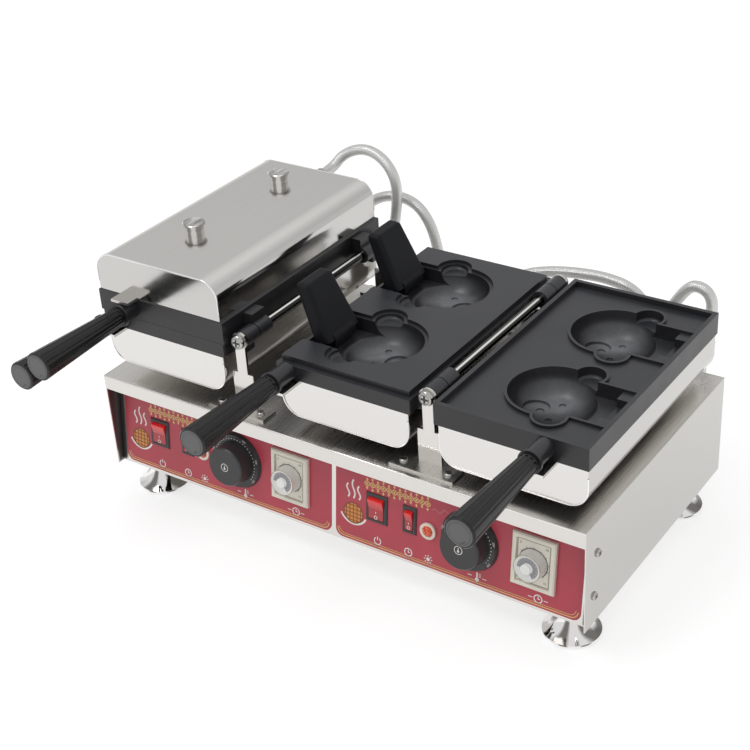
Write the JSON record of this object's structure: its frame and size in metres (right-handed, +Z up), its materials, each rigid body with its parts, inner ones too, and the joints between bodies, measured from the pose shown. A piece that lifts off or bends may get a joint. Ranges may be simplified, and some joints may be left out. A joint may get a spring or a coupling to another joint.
{
  "type": "hinged cake mould baker",
  "caption": "Countertop cake maker: steel base with control panels carrying hinged, heated mould pans with swing-over lids, cores and long handles.",
  "frame": {"origin": "on the ground, halfway across the base and at the middle of the depth taken over handles and conduits", "axes": "+X to the right seen from the front, +Y to the back, +Z up"},
  "size_m": [0.6054, 0.5135, 0.3206],
  "materials": {
    "steel": "brushed stainless sheet",
    "overlay": "printed polyester film, satin",
    "chrome": "bright plated",
    "rubber": "matte",
    "black": "moulded, satin",
    "lamp_ring": "moulded, satin",
    "lamp_lens": "translucent tinted",
    "inner_metal": "plain",
    "timer_bezel": "moulded, fine texture",
    "inner_plastic": "moulded",
    "aluminium": "turned",
    "rocker": "moulded, gloss",
    "clear_knob": "clear moulded",
    "conduit": "woven braid",
    "casting": "dark non-stick coating, matte",
    "grip": "fluted moulding, gloss"
  },
  "bodies": {
    "base": {"base_housing": "steel", "control_panel": "steel", "rear_panel": "steel", "bottom_plate": "steel", "overlay_left": "overlay", "overlay_right": "overlay", "feet": "chrome", "foot_pads": "rubber", "brackets_a": "steel", "brackets_b": "steel", "hinge_rods": "chrome", "rod_screws": "chrome", "bracket_screws": "chrome", "side_screws": "chrome", "switch_housings": "black", "lamp_rings": "lamp_ring", "lamp_lenses": "lamp_lens", "thermostats": "inner_metal", "timers": "timer_bezel", "base_glands": "black", "terminal_strip": "inner_plastic", "hose_a_upper": "conduit", "hose_a_lower": "conduit", "hose_b_upper": "conduit", "hose_b_lower": "conduit"},
    "a_lower_pan": {"a_lower_casting": "casting", "a_lower_casing": "steel", "a_lower_heater": "inner_metal", "a_lower_grip": "grip", "a_lower_gland": "chrome"},
    "a_upper_pan": {"a_upper_casting": "casting", "a_upper_casing": "steel", "a_upper_heater": "inner_metal", "a_upper_grip": "grip", "a_upper_gland": "chrome", "cover_knobs": "aluminium"},
    "b_lower_pan": {"b_lower_casting": "casting", "b_lower_casing": "steel", "b_lower_heater": "inner_metal", "b_lower_grip": "grip", "b_lower_gland": "chrome"},
    "b_upper_pan": {"b_upper_casting": "casting", "b_upper_casing": "steel", "b_upper_heater": "inner_metal", "b_upper_grip": "grip", "b_upper_gland": "chrome"},
    "power_rocker_left_body": {"power_rocker_left": "rocker"},
    "power_rocker_right_body": {"power_rocker_right": "rocker"},
    "timer_rocker_left_body": {"timer_rocker_left": "rocker"},
    "timer_rocker_right_body": {"timer_rocker_right": "rocker"},
    "thermostat_knob_left_body": {"thermostat_knob_left": "black"},
    "thermostat_knob_right_body": {"thermostat_knob_right": "black"},
    "timer_knob_left_body": {"timer_knob_left": "clear_knob"},
    "timer_knob_right_body": {"timer_knob_right": "clear_knob"},
    "core_a_front_body": {"core_a_front": "casting"},
    "core_a_rear_body": {"core_a_rear": "casting"},
    "core_b_front_body": {"core_b_front": "casting"},
    "core_b_rear_body": {"core_b_rear": "casting"}
  },
  "joints": [
    {"name": "b_lower_swing", "type": "hinge", "parent": "base", "child": "b_lower_pan", "pos_m": [0.114, 0, 0.234], "axis": [0, 1, 0], "range_deg": [-110, 0], "deforming": ["hose_b_lower"]},
    {"name": "b_upper_swing", "type": "hinge", "parent": "base", "child": "b_upper_pan", "pos_m": [0.114, 0, 0.234], "axis": [0, 1, 0], "range_deg": [0, 180], "deforming": ["hose_b_upper"]},
    {"name": "a_lower_swing", "type": "hinge", "parent": "base", "child": "a_lower_pan", "pos_m": [-0.118, 0, 0.234], "axis": [0, 1, 0], "range_deg": [0, 35], "deforming": ["hose_a_lower"]},
    {"name": "a_upper_swing", "type": "hinge", "parent": "a_lower_pan", "child": "a_upper_pan", "pos_m": [-0.118, 0, 0.234], "axis": [0, 1, 0], "range_deg": [0, 52], "deforming": ["hose_a_upper"]},
    {"name": "core_b_front_fold", "type": "hinge", "parent": "b_upper_pan", "child": "core_b_front_body", "pos_m": [-0.042, 0, 0.2298], "axis": [0, 1, 0], "range_deg": [0, 111.5]},
    {"name": "core_b_rear_fold", "type": "hinge", "parent": "b_upper_pan", "child": "core_b_rear_body", "pos_m": [-0.042, 0, 0.2298], "axis": [0, 1, 0], "range_deg": [0, 111.5]},
    {"name": "core_a_front_fold", "type": "hinge", "parent": "a_lower_pan", "child": "core_a_front_body", "pos_m": [-0.274, 0, 0.2298], "axis": [0, 1, 0], "range_deg": [-32.6, 0]},
    {"name": "core_a_rear_fold", "type": "hinge", "parent": "a_lower_pan", "child": "core_a_rear_body", "pos_m": [-0.274, 0, 0.2298], "axis": [0, 1, 0], "range_deg": [-32.6, 0]},
    {"name": "power_rocker_left_tilt", "type": "hinge", "parent": "base", "child": "power_rocker_left_body", "pos_m": [-0.239, -0.08491, 0.08955], "axis": [1, 0, 0], "range_deg": [0, 18]},
    {"name": "timer_rocker_left_tilt", "type": "hinge", "parent": "base", "child": "timer_rocker_left_body", "pos_m": [-0.199, -0.08491, 0.08955], "axis": [1, 0, 0], "range_deg": [0, 18]},
    {"name": "thermostat_knob_left_turn", "type": "hinge", "parent": "base", "child": "thermostat_knob_left_body", "pos_m": [-0.1283, -0.08531, 0.08961], "axis": [0, -0.9924, 0.1231], "range_deg": [-270, 0]},
    {"name": "timer_knob_left_turn", "type": "hinge", "parent": "base", "child": "timer_knob_left_body", "pos_m": [-0.0553, -0.08506, 0.09159], "axis": [0, -0.9924, 0.1231], "range_deg": [-270, 0]},
    {"name": "power_rocker_right_tilt", "type": "hinge", "parent": "base", "child": "power_rocker_right_body", "pos_m": [0.055, -0.08491, 0.08955], "axis": [1, 0, 0], "range_deg": [0, 18]},
    {"name": "timer_rocker_right_tilt", "type": "hinge", "parent": "base", "child": "timer_rocker_right_body", "pos_m": [0.095, -0.08491, 0.08955], "axis": [1, 0, 0], "range_deg": [0, 18]},
    {"name": "thermostat_knob_right_turn", "type": "hinge", "parent": "base", "child": "thermostat_knob_right_body", "pos_m": [0.1657, -0.08531, 0.08961], "axis": [0, -0.9924, 0.1231], "range_deg": [-270, 0]},
    {"name": "timer_knob_right_turn", "type": "hinge", "parent": "base", "child": "timer_knob_right_body", "pos_m": [0.2387, -0.08506, 0.09159], "axis": [0, -0.9924, 0.1231], "range_deg": [-270, 0]}
  ],
  "couplings": [
    {"joint": "core_b_front_fold", "follows": "b_upper_swing", "ratio": 0.6167},
    {"joint": "core_b_rear_fold", "follows": "b_upper_swing", "ratio": 0.6167},
    {"joint": "core_a_front_fold", "follows": "a_upper_swing", "ratio": -0.6167},
    {"joint": "core_a_rear_fold", "follows": "a_upper_swing", "ratio": -0.6167}
  ]
}
